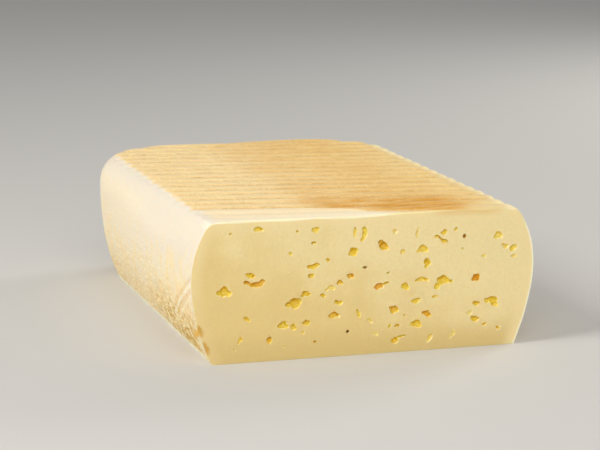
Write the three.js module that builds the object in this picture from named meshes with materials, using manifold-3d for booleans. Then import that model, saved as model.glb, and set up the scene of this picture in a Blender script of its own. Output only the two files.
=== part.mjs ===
// A cut block of esrom, a flat loaf of semi-soft cheese: a ribbed top, swollen rind sides, one rounded
// natural end, and one flat cut face with small irregular eyes.
// Millimetres, +Z up. The cut face looks along -Y, and the block rests on z = 0.
import * as THREE from "three";
import { mergeVertices } from "three/addons/utils/BufferGeometryUtils.js";
import Module from "manifold-3d";

// Driving dimensions of the loaf
const HEIGHT = 52; // from the base to the crests of the ribs
const BASE_WIDTH = 116; // across the flat base
const LENGTH = 196; // from the cut face to the far end
const SWELL = 7.3; // how far the sides stand out past the edge of the base
const SWELL_HEIGHT = 0.6 * HEIGHT; // where they stand out most, at the cut
const END_SWELL_HEIGHT = 0.8 * HEIGHT; // and at the natural end, where they stand steeper
const FOOT_LEAN = 0.38 * HEIGHT; // where the lean of the foot, carried on, would reach the full swell
const TOP_LEAN = 0.77 * HEIGHT; // where the lean under the shoulder, carried down, would reach it, at the cut
const END_TOP_LEAN = 0.92 * HEIGHT; // and at the natural end
const LEFT_SHOULDER = 4; // how far the rounded shoulder runs in over the top
const RIGHT_SHOULDER = 2.4;
const END_RADIUS = 31; // corners of the natural end, in plan
const UNEVEN = 0.5; // how far the sides wander from their even curve
const LONG_WANDER = 17; // lengths that set how slowly and how quickly they wander
const SHORT_WANDER = 9;

// Driving dimensions of the ribs that the rack pressed into the top
const RIB_PITCH = 10.3;
const RIB_DEPTH = 1.3;
const WORN_RIB = 0.3; // depth by the cut, as a share of the full depth
const WORN_TO = 16; // distance from the middle of the cut's top edge at which the ribs are whole again
const RIB_TURN = THREE.MathUtils.degToRad(10); // the ribs run askew of the cut
const RIB_START = 4.7; // distance from the middle of the cut's top edge to the first crest

// Driving dimensions of the cut
const EDGE_ROLL = 0.6; // the knife draws the rind over the top edge of the cut
const EYE_DEPTH = 0.6; // how deep an eye goes, as a share of its height
const LOBE_SPREAD = 0.18; // how much the lobes of an eye differ in size
const LONG_EYE = 1.75; // length against height from which an eye has three lobes, not two
const LOBE_TURN = 1; // widest turn of a lobe about its upright, in radians
const LOBE_LENGTH = 0.3; // half length of a lobe, as a share of the eye's length

// The larger eyes: place across and up the cut face, length, height, turn in degrees, and bend,
// where a positive bend lifts the two ends
const EYES = [
  [-53.5, 26.5, 4.8, 3.0, 0, -0.3],
  [-42.0, 28.7, 6.6, 2.0, 0, 0.9],
  [-43.5, 32.1, 3.2, 1.8, -20, 0],
  [-27.2, 20.6, 5.2, 3.2, 18, 0.4],
  [-23.0, 23.8, 3.2, 1.5, 10, -0.5],
  [-31.5, 12.7, 3.8, 2.7, -8, -0.4],
  [-20.3, 34.2, 4.4, 1.8, 14, 0.3],
  [-20.8, 30.7, 2.4, 1.8, 0, 0],
  [-13.6, 25.5, 3.7, 1.7, 0, -0.9],
  [-11.9, 15.4, 3.8, 2.0, 0, -0.5],
  [-10.5, 20.0, 3.1, 1.5, -10, 0.3],
  [-5.1, 38.4, 3.0, 2.4, 20, 0.4],
  [-0.7, 45.0, 5.0, 1.9, 82, 0.3],
  [5.1, 25.3, 4.5, 2.4, 12, 0.5],
  [6.7, 40.0, 4.4, 3.2, -38, 0.3],
  [10.8, 16.2, 2.9, 2.2, -30, 0],
  [12.1, 5.2, 4.6, 2.0, 16, -0.6],
  [15.1, 24.4, 3.2, 2.2, -12, 0],
  [19.3, 19.0, 3.4, 1.7, 8, 0.3],
  [19.4, 10.0, 4.6, 2.8, 0, -0.5],
  [21.5, 26.6, 4.6, 1.5, 0, -0.3],
  [21.7, 38.1, 4.1, 2.4, 0, -0.5],
  [23.5, 32.7, 3.2, 2.3, 75, 0.3],
  [23.7, 13.6, 2.9, 2.2, -20, 0],
  [28.8, 41.5, 4.2, 2.0, -14, -0.9],
  [29.9, 25.5, 6.7, 3.4, 10, 0.4],
  [33.6, 5.5, 3.8, 1.7, 80, 0.6],
  [41.6, 11.3, 4.6, 2.0, -24, 0.4],
  [42.6, 26.1, 3.1, 2.6, 30, 0],
  [48.9, 17.1, 5.0, 2.6, -18, -0.6],
  [51.3, 41.4, 3.0, 2.3, 0, -0.4],
  [56.6, 36.6, 4.2, 1.8, 60, 0.8],
  [-47.4, 8.3, 3.0, 2.2, 70, 0.4],
  [-45.0, 15.9, 2.4, 1.6, -30, 0],
  [-40.5, 48.5, 3.0, 1.7, 0, -0.4],
  [-36.6, 7.8, 2.2, 1.5, 80, 0],
  [-27.5, 11.9, 2.1, 2.0, 0, 0],
  [-22.7, 13.3, 2.2, 2.0, 20, 0],
  [-19.2, 47.5, 2.8, 1.7, 10, 0.3],
  [-5.9, 29.6, 2.2, 2.0, -20, 0],
  [-4.4, 45.7, 3.2, 1.2, 85, 0],
  [-3.0, 15.5, 2.6, 1.6, -60, 0.3],
  [1.5, 12.5, 2.2, 1.8, -40, 0],
  [19.7, 44.4, 3.3, 1.2, 80, 0],
  [24.7, 4.7, 3.3, 2.0, 60, 0.5],
  [43.1, 16.4, 2.6, 1.2, 0, 0],
];

// How finely the curves are divided
const WALL_STEPS = 15;
const SIDE_STEPS = 11;
const CORNER_STEPS = 8;
const RIB_STEPS = 8;
const LOBE_DETAIL = 1;
const SEED = 7;

const MERGE = 1e-4; // vertices closer than this are one
const MARGIN = 20; // how far a cutting shape reaches past what it cuts
const RAW_HEIGHT = HEIGHT + 0.6; // the loaf before its top is trimmed to the ribs
const HALF_WIDTH = BASE_WIDTH / 2;
const END = LENGTH - SWELL; // foot of the natural end
const CORNER_X = HALF_WIDTH - END_RADIUS;
const CORNER_Y = END - END_RADIUS;

const wasm = await Module();
wasm.setup();

// A steady draw between 0 and 1, the same on every run
function makeDraw(seed) {
  let state = seed;
  return () => {
    state = (state + 0x6d2b79f5) | 0;
    let mixed = Math.imul(state ^ (state >>> 15), 1 | state);
    mixed = (mixed + Math.imul(mixed ^ (mixed >>> 7), 61 | mixed)) ^ mixed;
    return ((mixed ^ (mixed >>> 14)) >>> 0) / 4294967296;
  };
}

// A closed geometry as a solid that can be joined and cut
function toSolid(geometry) {
  const bare = geometry.clone();
  bare.deleteAttribute("normal");
  bare.deleteAttribute("uv");
  const merged = mergeVertices(bare, MERGE);
  return new wasm.Manifold(
    new wasm.Mesh({
      numProp: 3,
      vertProperties: merged.attributes.position.array,
      triVerts: new Uint32Array(merged.index.array),
    }),
  );
}

function toGeometry(solid) {
  const mesh = solid.getMesh();
  const geometry = new THREE.BufferGeometry();
  geometry.setAttribute("position", new THREE.BufferAttribute(mesh.vertProperties, 3));
  geometry.setIndex(new THREE.BufferAttribute(mesh.triVerts, 1));
  return geometry;
}

// A closed profile drawn in (distance along `along`, height), pushed `reach` each way square to it
function sweepProfile(profile, along, reach) {
  const up = new THREE.Vector3(0, 0, 1);
  const across = new THREE.Vector3().crossVectors(along, up);
  const geometry = new THREE.ExtrudeGeometry(profile, { depth: 2 * reach, bevelEnabled: false });
  geometry.translate(0, 0, -reach);
  geometry.applyMatrix4(new THREE.Matrix4().makeBasis(along, up, across));
  return geometry;
}

// Outline of the base: straight sides, two round corners at the natural end, and a straight front that
// stands past the cut
function baseOutline() {
  const outline = new THREE.Shape();
  outline.moveTo(-HALF_WIDTH, -MARGIN);
  outline.lineTo(HALF_WIDTH, -MARGIN);
  for (let step = 1; step <= SIDE_STEPS; step++) {
    outline.lineTo(HALF_WIDTH, THREE.MathUtils.lerp(-MARGIN, CORNER_Y, step / SIDE_STEPS));
  }
  outline.absarc(CORNER_X, CORNER_Y, END_RADIUS, 0, Math.PI / 2);
  outline.absarc(-CORNER_X, CORNER_Y, END_RADIUS, Math.PI / 2, Math.PI);
  for (let step = 1; step < SIDE_STEPS; step++) {
    outline.lineTo(-HALF_WIDTH, THREE.MathUtils.lerp(CORNER_Y, -MARGIN, step / SIDE_STEPS));
  }
  outline.closePath();
  return outline;
}

// Rise of the wall: how far it stands out from the base's outline, against height, with its shoulder and
// how far it lies from the cut (0) to the natural end (1)
function wallProfile(shoulder, back) {
  const swellHeight = THREE.MathUtils.lerp(SWELL_HEIGHT, END_SWELL_HEIGHT, back);
  const topLean = THREE.MathUtils.lerp(TOP_LEAN, END_TOP_LEAN, back);
  const lean = new THREE.Vector2(SWELL, topLean - RAW_HEIGHT).setLength(shoulder);
  const profile = new THREE.Path();
  profile.moveTo(0, 0);
  profile.quadraticCurveTo(SWELL, FOOT_LEAN, SWELL, swellHeight);
  profile.quadraticCurveTo(SWELL, topLean, lean.x, RAW_HEIGHT + lean.y);
  profile.quadraticCurveTo(0, RAW_HEIGHT, -shoulder, RAW_HEIGHT);
  return profile;
}

// Direction in plan that points straight out of the rind
function outward(x, y) {
  const dx = x - THREE.MathUtils.clamp(x, -CORNER_X, CORNER_X);
  const dy = Math.max(y - CORNER_Y, 0);
  return new THREE.Vector2(dx, dy).normalize();
}

// The whole loaf before it is ribbed and cut: the base's outline raised along the wall's profile
function makeLoaf() {
  const geometry = new THREE.ExtrudeGeometry(baseOutline(), {
    depth: 1,
    steps: WALL_STEPS,
    curveSegments: CORNER_STEPS,
    bevelEnabled: false,
  });
  const points = geometry.attributes.position;
  for (let i = 0; i < points.count; i++) {
    const x = points.getX(i);
    const y = points.getY(i);
    const out = outward(x, y);
    const shoulder = THREE.MathUtils.mapLinear(out.x, -1, 1, LEFT_SHOULDER, RIGHT_SHOULDER);
    const back = THREE.MathUtils.clamp(y / LENGTH, 0, 1);
    const rise = wallProfile(shoulder, back).getPoint(points.getZ(i));
    const wander = Math.sin(y / LONG_WANDER + out.x) + Math.sin((x + y + rise.y) / SHORT_WANDER);
    const swell = Math.max(rise.x, 0) / SWELL;
    out.multiplyScalar(rise.x + UNEVEN * swell * wander);
    points.setXYZ(i, x + out.x, y + out.y, rise.y);
  }
  return geometry;
}

// A slab under a row of rounded ribs, which trims the loaf to its ribbed top
function makeRibs() {
  const reach = LENGTH + BASE_WIDTH;
  const count = Math.ceil(reach / RIB_PITCH);
  const profile = new THREE.Shape();
  profile.moveTo(-reach, -MARGIN);
  profile.lineTo(reach, -MARGIN);
  for (let step = count * RIB_STEPS; step >= -count * RIB_STEPS; step--) {
    const run = RIB_START + (step * RIB_PITCH) / RIB_STEPS;
    const groove = Math.sin((Math.PI * step) / RIB_STEPS) ** 4;
    const whole = THREE.MathUtils.smoothstep(run, 0, WORN_TO);
    profile.lineTo(run, HEIGHT - RIB_DEPTH * groove * THREE.MathUtils.lerp(WORN_RIB, 1, whole));
  }
  profile.closePath();
  const along = new THREE.Vector3(Math.sin(RIB_TURN), Math.cos(RIB_TURN), 0);
  return sweepProfile(profile, along, reach);
}

// What lies behind the knife: the flat cut with its top edge rolled over
function makeKept() {
  const profile = new THREE.Shape();
  profile.moveTo(0, -MARGIN);
  profile.lineTo(LENGTH + MARGIN, -MARGIN);
  profile.lineTo(LENGTH + MARGIN, HEIGHT + MARGIN);
  profile.lineTo(EDGE_ROLL, HEIGHT + MARGIN);
  profile.lineTo(EDGE_ROLL, HEIGHT);
  profile.absarc(EDGE_ROLL, HEIGHT - EDGE_ROLL, EDGE_ROLL, Math.PI / 2, Math.PI);
  profile.closePath();
  return sweepProfile(profile, new THREE.Vector3(0, 1, 0), BASE_WIDTH);
}

// The lobes of one eye: lumps along a short bent line in the cut face
function makeEye([across, up, length, height, turn, bend], draw) {
  const count = length > LONG_EYE * height ? 3 : 2;
  const half = Math.max(height / 2, LOBE_LENGTH * length);
  return Array.from({ length: count }, (_, index) => {
    const share = (2 * index) / (count - 1) - 1;
    const size = 1 + LOBE_SPREAD * (2 * draw() - 1);
    const lobe = new THREE.IcosahedronGeometry(1, LOBE_DETAIL);
    lobe.scale(size * half, size * height * EYE_DEPTH, (size * height) / 2);
    lobe.rotateZ(LOBE_TURN * (draw() - 0.5));
    lobe.translate(share * (length / 2 - half), 0, (bend * height * (share * share - 0.5)) / 2);
    lobe.rotateY(-THREE.MathUtils.degToRad(turn));
    lobe.translate(across, 0, up);
    return lobe;
  });
}

// The block in its own frame: the loaf ribbed, cut and pitted, with the middle of its base at the origin
function makeBlock() {
  const draw = makeDraw(SEED);
  let solid = toSolid(makeLoaf()).intersect(toSolid(makeRibs())).intersect(toSolid(makeKept()));
  for (const eye of EYES) {
    for (const lobe of makeEye(eye, draw)) {
      solid = solid.subtract(toSolid(lobe));
    }
  }
  const geometry = toGeometry(solid);
  geometry.computeBoundingBox();
  const middle = geometry.boundingBox.getCenter(new THREE.Vector3());
  geometry.translate(-middle.x, -middle.y, -geometry.boundingBox.min.z);
  geometry.computeVertexNormals();
  return geometry;
}

const paste = new THREE.MeshStandardMaterial({ color: 0xe9d195, roughness: 0.55, metalness: 0 });

const cheese = new THREE.Mesh(makeBlock(), paste);
cheese.name = "cheese";

const part = new THREE.Group();
part.add(cheese);

export default part;
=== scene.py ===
"""Dresses a cut block of esrom cheese: ribbed rind, smooth yellow paste and golden eyes."""

import logging
import math
from dataclasses import dataclass, field
from enum import Enum
from functools import reduce

import bpy
import numpy as np
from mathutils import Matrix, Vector


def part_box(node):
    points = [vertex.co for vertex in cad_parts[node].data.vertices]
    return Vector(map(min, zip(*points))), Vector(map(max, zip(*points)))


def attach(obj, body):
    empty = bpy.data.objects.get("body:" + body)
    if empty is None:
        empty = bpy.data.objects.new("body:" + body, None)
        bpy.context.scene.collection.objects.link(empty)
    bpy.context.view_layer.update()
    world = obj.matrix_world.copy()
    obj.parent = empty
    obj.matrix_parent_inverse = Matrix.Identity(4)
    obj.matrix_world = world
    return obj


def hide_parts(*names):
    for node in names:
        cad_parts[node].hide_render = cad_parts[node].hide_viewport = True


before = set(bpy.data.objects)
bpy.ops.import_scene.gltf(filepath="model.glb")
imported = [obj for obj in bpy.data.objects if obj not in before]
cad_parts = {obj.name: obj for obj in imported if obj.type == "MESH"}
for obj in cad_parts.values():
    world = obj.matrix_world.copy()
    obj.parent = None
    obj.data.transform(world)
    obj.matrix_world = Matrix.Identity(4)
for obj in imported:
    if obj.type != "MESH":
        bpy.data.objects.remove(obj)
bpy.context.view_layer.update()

MM = 0.001
NODE = "cheese"
LIGHT_REACH = (1.0, 0.6, 0.25)  # how far red, green and blue light go into the cheese, by comparison
MIX_SHARE, MIX_UNDER, MIX_OVER, MIX_RESULT = 0, 6, 7, 2  # places of the Mix node's colour sockets
LOG = logging.getLogger("cheese_block")

Colour = tuple[float, float, float, float]
Socket = bpy.types.NodeSocket


def shade(red: int, green: int, blue: int) -> Colour:
    """Turns a screen colour into the linear colour that shaders use.

    Args:
        red: Red, 0 to 255.
        green: Green, 0 to 255.
        blue: Blue, 0 to 255.

    Returns:
        The linear colour with full alpha.
    """
    parts = [value / 255 for value in (red, green, blue)]
    linear = [p / 12.92 if p <= 0.04045 else ((p + 0.055) / 1.055) ** 2.4 for p in parts]
    return (linear[0], linear[1], linear[2], 1.0)


class Region(Enum):
    """The surfaces of the block, in the order of its material slots."""

    RIND = 0
    PASTE = 1
    EYE = 2


class Mark(Enum):
    """Attributes that the mesh carries for its finishes."""

    RIB = "rib"
    MARGIN = "margin"
    # Which way an eye's wall faces, for the painted shade and light in the eyes
    OVERHANG = "overhang"
    TINT = "tint"


class Graph:
    """A node tree that grows by short calls, with plain numbers put straight on sockets."""

    def __init__(self, tree: bpy.types.NodeTree) -> None:
        """Takes the shader tree or geometry tree to grow."""
        self.tree = tree

    def feed(self, socket: Socket, value: object) -> None:
        """Links a socket into an input, or sets the input to a plain value.

        Args:
            socket: The input to feed.
            value: An output socket, or a value for the input itself.
        """
        if isinstance(value, bpy.types.NodeSocket):
            self.tree.links.new(value, socket)
        else:
            socket.default_value = value

    def node(self, kind: str, inputs: dict | None = None, **settings: object) -> bpy.types.Node:
        """Adds a node.

        Args:
            kind: The node's type name.
            inputs: What to feed to its inputs, by name or place.
            settings: Properties to set on it first.

        Returns:
            The new node.
        """
        made = self.tree.nodes.new(kind)
        for name, value in settings.items():
            setattr(made, name, value)
        for key, value in (inputs or {}).items():
            self.feed(made.inputs[key], value)
        return made

    def result(self, kind: str, inputs: dict | None = None, **settings: object) -> Socket:
        """Adds a node and gives its first output."""
        return self.node(kind, inputs, **settings).outputs[0]

    def math(self, operation: str, *values: object) -> Socket:
        """Adds a sum on numbers, by the Math node's name for it."""
        return self.result("ShaderNodeMath", dict(enumerate(values)), operation=operation)

    def plus(self, *values: object) -> Socket:
        """Adds numbers up."""
        return reduce(lambda first, second: self.math("ADD", first, second), values)

    def minus(self, first: object, second: object) -> Socket:
        """Takes the second number from the first."""
        return self.math("SUBTRACT", first, second)

    def times(self, *values: object) -> Socket:
        """Multiplies numbers together."""
        return reduce(lambda first, second: self.math("MULTIPLY", first, second), values)

    def vector(self, operation: str, *values: object) -> Socket:
        """Adds a sum on vectors.

        Args:
            operation: The Vector Math node's operation.
            values: Its inputs, in order, with a scale in place of the second where it has one.

        Returns:
            The resulting vector, or number where the operation gives one.
        """
        made = self.node("ShaderNodeVectorMath", operation=operation)
        for place, value in enumerate(values):
            key = "Scale" if operation == "SCALE" and place == 1 else place
            self.feed(made.inputs[key], value)
        return made.outputs["Value" if operation in ("DOT_PRODUCT", "LENGTH") else "Vector"]

    def axes(self, place: Socket) -> bpy.types.bpy_prop_collection:
        """Splits a place into its X, Y and Z."""
        return self.node("ShaderNodeSeparateXYZ", {0: place}).outputs

    def join(self, x: object = 0, y: object = 0, z: object = 0) -> Socket:
        """Joins three numbers into a place."""
        return self.result("ShaderNodeCombineXYZ", {"X": x, "Y": y, "Z": z})

    def ramp(self, value: object, low: object, high: object, start: object = 0, end: object = 1) -> Socket:
        """Adds a soft step from one level to another.

        Args:
            value: What the step follows.
            low: The value at which it starts.
            high: The value at which it ends.
            start: The level before it.
            end: The level after it.

        Returns:
            The level.
        """
        fed = dict(enumerate((value, low, high, start, end)))
        return self.result("ShaderNodeMapRange", fed, interpolation_type="SMOOTHSTEP")

    def along(self, way: Socket, low: float, high: float, start: object = 0, end: object = 1) -> Socket:
        """Adds a soft step along a distance, between two places in millimetres."""
        return self.ramp(way, low * MM, high * MM, start, end)

    def wave(self, turns: Socket) -> Socket:
        """Draws an even wave, 0 at whole turns and 1 halfway between them."""
        return self.math("ABSOLUTE", self.math("SINE", self.times(turns, math.pi)))

    def noise(self, place: Socket, size: float, detail: float = 2, rough: float = 0.5) -> Socket:
        """Adds a cloudy pattern.

        Args:
            place: Where on the piece, in metres.
            size: How far apart its lumps are, in metres.
            detail: How many finer layers it has.
            rough: How strong they are.

        Returns:
            The pattern, from 0 to 1 about a half.
        """
        fed = {"Vector": place, "Scale": 1 / size, "Detail": detail, "Roughness": rough}
        return self.node("ShaderNodeTexNoise", fed).outputs["Fac"]

    def swing(self, place: Socket, size: float, detail: float = 2, rough: float = 0.5) -> Socket:
        """Adds a cloudy pattern about zero."""
        return self.minus(self.noise(place, size, detail, rough), 0.5)

    def drift(self, place: Socket, size: float) -> Socket:
        """Adds a cloudy vector pattern, each part about zero."""
        made = self.node("ShaderNodeTexNoise", {"Vector": place, "Scale": 1 / size})
        return self.vector("SUBTRACT", made.outputs["Color"], (0.5, 0.5, 0.5))

    def stretch(self, place: Socket, by: tuple[float, float, float], shift: float = 0) -> Socket:
        """Stretches a place by axis and shifts it, to draw a pattern out or to draw another one."""
        return self.vector("MULTIPLY_ADD", place, by, (shift, shift, shift))

    def cover(self, under: object, over: object, *shares: object) -> Socket:
        """Lays one colour over another, by the product of the shares."""
        fed = {MIX_SHARE: self.times(*shares), MIX_UNDER: under, MIX_OVER: over}
        return self.node("ShaderNodeMix", fed, data_type="RGBA").outputs[MIX_RESULT]

    def bump(self, high: Socket, depth: float) -> Socket:
        """Bends the normal by a height pattern, in which a step of one stands as high as the depth."""
        return self.result("ShaderNodeBump", {"Height": high, "Distance": depth, "Strength": 1.0})

    def attribute(self, mark: Mark) -> Socket:
        """Reads a number that the mesh carries, in a shader."""
        return self.node("ShaderNodeAttribute", attribute_name=mark.value).outputs["Fac"]

    def carried(self, name: str, kind: str = "FLOAT_VECTOR") -> Socket:
        """Reads a value that the points carry, in a geometry tree."""
        return self.result("GeometryNodeInputNamedAttribute", {"Name": name}, data_type=kind)

    def keep(self, geometry: Socket, mark: Mark, value: Socket) -> Socket:
        """Stores a number on the points, in a geometry tree."""
        fed = {"Geometry": geometry, "Name": mark.value, "Value": value}
        return self.result("GeometryNodeStoreNamedAttribute", fed)


def new_object(name: str, data: bpy.types.Mesh) -> bpy.types.Object:
    """Puts a mesh into the scene.

    Args:
        name: The object's name.
        data: Its mesh.

    Returns:
        The object, at the origin.
    """
    made = bpy.data.objects.new(name, data)
    bpy.context.scene.collection.objects.link(made)
    return made


def new_mesh(name: str, points: np.ndarray, faces: list[list[int]]) -> bpy.types.Mesh:
    """Makes a mesh from arrays.

    Args:
        name: Its name.
        points: Places of its vertices, in metres.
        faces: Its faces, as lists of vertices.

    Returns:
        The mesh.
    """
    mesh = bpy.data.meshes.new(name)
    mesh.from_pydata(points.tolist(), [], faces)
    mesh.update()
    return mesh


def new_material(name: str) -> tuple[bpy.types.Material, Graph, bpy.types.Node]:
    """Starts a material.

    Args:
        name: Its name.

    Returns:
        The material, its tree to grow, and its shader.
    """
    material = bpy.data.materials.new(name)
    material.use_nodes = True
    return material, Graph(material.node_tree), material.node_tree.nodes["Principled BSDF"]


def places(mesh: bpy.types.Mesh) -> np.ndarray:
    """Reads the places of a mesh's vertices.

    Args:
        mesh: The mesh.

    Returns:
        An array of one row for each vertex.
    """
    flat = np.empty(3 * len(mesh.vertices), np.float32)
    mesh.vertices.foreach_get("co", flat)
    return flat.reshape(-1, 3).astype(float)


def store(mesh: bpy.types.Mesh, name: str, values: np.ndarray) -> None:
    """Stores a number or a vector for each vertex.

    Args:
        mesh: The mesh.
        name: The attribute's name.
        values: One value or row for each vertex.
    """
    kind, key = ("FLOAT", "value") if values.ndim == 1 else ("FLOAT_VECTOR", "vector")
    layer = mesh.attributes.new(name, kind, "POINT")
    layer.data.foreach_set(key, values.astype(np.float32).ravel())


def span(left: np.ndarray, right: np.ndarray, steps: int) -> np.ndarray:
    """Spans each pair of points with even steps, the two ends left out."""
    share = np.linspace(0, 1, steps + 1)[1:-1, None]
    return left[:, None] + (right - left)[:, None] * share


def quads(grid: np.ndarray) -> list[list[int]]:
    """Makes the faces between the vertices of a grid."""
    corners = [grid[:-1, :-1], grid[:-1, 1:], grid[1:, 1:], grid[1:, :-1]]
    return np.stack(corners, axis=-1).reshape(-1, 4).tolist()


def evaluated(piece: bpy.types.Object, name: str) -> bpy.types.Mesh:
    """Turns what an object's modifiers make into a plain mesh.

    Args:
        piece: The object.
        name: The new mesh's name.

    Returns:
        The mesh, free of the modifiers.
    """
    graph = bpy.context.evaluated_depsgraph_get()
    mesh = bpy.data.meshes.new_from_object(piece.evaluated_get(graph), depsgraph=graph)
    mesh.name = name
    return mesh


def geometry_tree(name: str, inputs: dict[str, float]) -> tuple[Graph, bpy.types.Node]:
    """Starts a geometry tree with named sizes.

    Args:
        name: The tree's name.
        inputs: Its named inputs, with their values.

    Returns:
        The tree to grow, and its input node.
    """
    tree = bpy.data.node_groups.new(name, "GeometryNodeTree")
    tree.interface.new_socket("Geometry", in_out="INPUT", socket_type="NodeSocketGeometry")
    tree.interface.new_socket("Geometry", in_out="OUTPUT", socket_type="NodeSocketGeometry")
    for label, value in inputs.items():
        made = tree.interface.new_socket(label, in_out="INPUT", socket_type="NodeSocketFloat")
        made.default_value = value
    graph = Graph(tree)
    return graph, graph.node("NodeGroupInput")


def run_tree(
    piece: bpy.types.Object, tree: bpy.types.NodeTree, inputs: dict[str, float]
) -> bpy.types.Mesh:
    """Runs a geometry tree on an object and keeps the result as a plain mesh.

    Args:
        piece: The object.
        tree: The tree.
        inputs: Values for its named inputs.

    Returns:
        The mesh that it makes.
    """
    modifier = piece.modifiers.new(tree.name, "NODES")
    modifier.node_group = tree
    for socket in tree.interface.items_tree:
        if socket.in_out == "INPUT" and socket.name in inputs:
            modifier[socket.identifier] = inputs[socket.name]
    mesh = evaluated(piece, tree.name)
    piece.modifiers.remove(modifier)
    return mesh


@dataclass(frozen=True)
class LoafSizes:
    """Driving sizes of the loaf, in metres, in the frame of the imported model."""

    height: float
    cut: float
    length: float
    middle: float = 0.16 * MM
    base_width: float = 116 * MM
    swell: float = 7.45 * MM
    swell_height: tuple[float, float] = (0.6, 0.8)
    top_lean: tuple[float, float] = (0.8, 0.92)
    foot_lean: tuple[float, float] = (0.3, 0.35)
    left_shoulder: float = 4 * MM
    right_shoulder: float = 2.4 * MM
    cut_shoulders: tuple[float, float] = (1.2 * MM, 3.6 * MM)
    shoulder_run: float = 30 * MM
    trim: float = 0.6 * MM
    end_radius: float = 31 * MM
    rib_pitch: float = 10.3 * MM
    rib_depth: float = 1.3 * MM
    rib_turn: float = math.radians(10)
    rib_start: float = 4.7 * MM
    rib_softness: float = 0.8 * MM
    worn_rib: float = 0.3
    worn_to: float = 16 * MM
    edge_roll: float = 0.6 * MM
    fold_pitch: float = 4.3 * MM
    fold_start: float = 2.55 * MM
    fold_lean: float = 0.5

    @property
    def corner_x(self) -> float:
        """Place of a round corner's centre, out from the middle."""
        return self.base_width / 2 - self.end_radius

    @property
    def corner_y(self) -> float:
        """Place of a round corner's centre, behind the cut."""
        return self.length - self.swell - self.end_radius

    @property
    def rib_way(self) -> tuple[float, float, float]:
        """Level direction square to the ribs."""
        return (math.sin(self.rib_turn), math.cos(self.rib_turn), 0.0)


class Spot:
    """A place on the loaf, measured in the tree that shapes or paints it."""

    def __init__(self, g: Graph, place: Socket, sizes: LoafSizes) -> None:
        """Measures how far the place is right of the middle, behind the cut and over the base.

        Args:
            g: The tree.
            place: The place, in metres.
            sizes: The loaf's sizes.
        """
        axes = g.axes(place)
        self.g, self.place, self.sizes = g, place, sizes
        self.side, self.height = axes["X"], axes["Z"]
        self.from_cut = g.minus(axes["Y"], sizes.cut)

    def across_ribs(self) -> Socket:
        """Measures the distance square to the ribs from the middle of the cut."""
        away = self.g.vector("SUBTRACT", self.place, (self.sizes.middle, self.sizes.cut, 0.0))
        return self.g.vector("DOT_PRODUCT", away, self.sizes.rib_way)

    def folds(self) -> Socket:
        """Draws the slanting creases low on the left side, close to the cut.

        Returns:
            How far each point stands in or out, about zero.
        """
        g, s = self.g, self.sizes
        flat = g.join(self.from_cut, self.height)
        rise = g.minus(self.height, s.fold_start)
        slant = g.math("MULTIPLY_ADD", self.from_cut, s.fold_lean, rise)
        band = g.times(g.along(slant, 19, 28), g.along(slant, 32, 30))
        near = g.times(g.along(self.from_cut, 44, 18), band, g.along(self.side, 0, -30))
        wander = g.times(g.swing(flat, 16 * MM, 1), 1.2 * MM)
        turns = g.math("DIVIDE", g.plus(slant, wander), s.fold_pitch)
        off = g.math("ABSOLUTE", g.minus(g.math("FRACT", turns), 0.5))
        broken = g.ramp(g.noise(flat, 6 * MM, 1), 0.3, 0.6, 0.35, 1)
        ridge = g.times(g.ramp(off, 0.3, 0), broken)
        return g.times(g.minus(ridge, 0.2), near)


@dataclass(frozen=True)
class Finish:
    """What the finishes share: fine relief on a surface that lets some light in."""

    name: str
    roughness: float
    softness: float
    soft_reach: float
    relief: float

    def paint(self, spot: Spot) -> tuple[Socket, Socket]:
        """Draws the colour and the height of the fine relief, in its own way for each finish."""
        raise NotImplementedError

    def build(self, sizes: LoafSizes) -> bpy.types.Material:
        """Makes the material.

        Args:
            sizes: The loaf's sizes, which place the patterns.

        Returns:
            The material.
        """
        material, g, shader = new_material(self.name)
        place = g.node("ShaderNodeTexCoord").outputs["Object"]
        colour, high = self.paint(Spot(g, place, sizes))
        fed = {"Base Color": colour, "Normal": g.bump(high, self.relief), "Roughness": self.roughness}
        fed |= {"Subsurface Weight": self.softness, "Subsurface Scale": self.soft_reach}
        fed |= {"Subsurface Radius": LIGHT_REACH}
        for key, value in fed.items():
            g.feed(shader.inputs[key], value)
        return material


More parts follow.
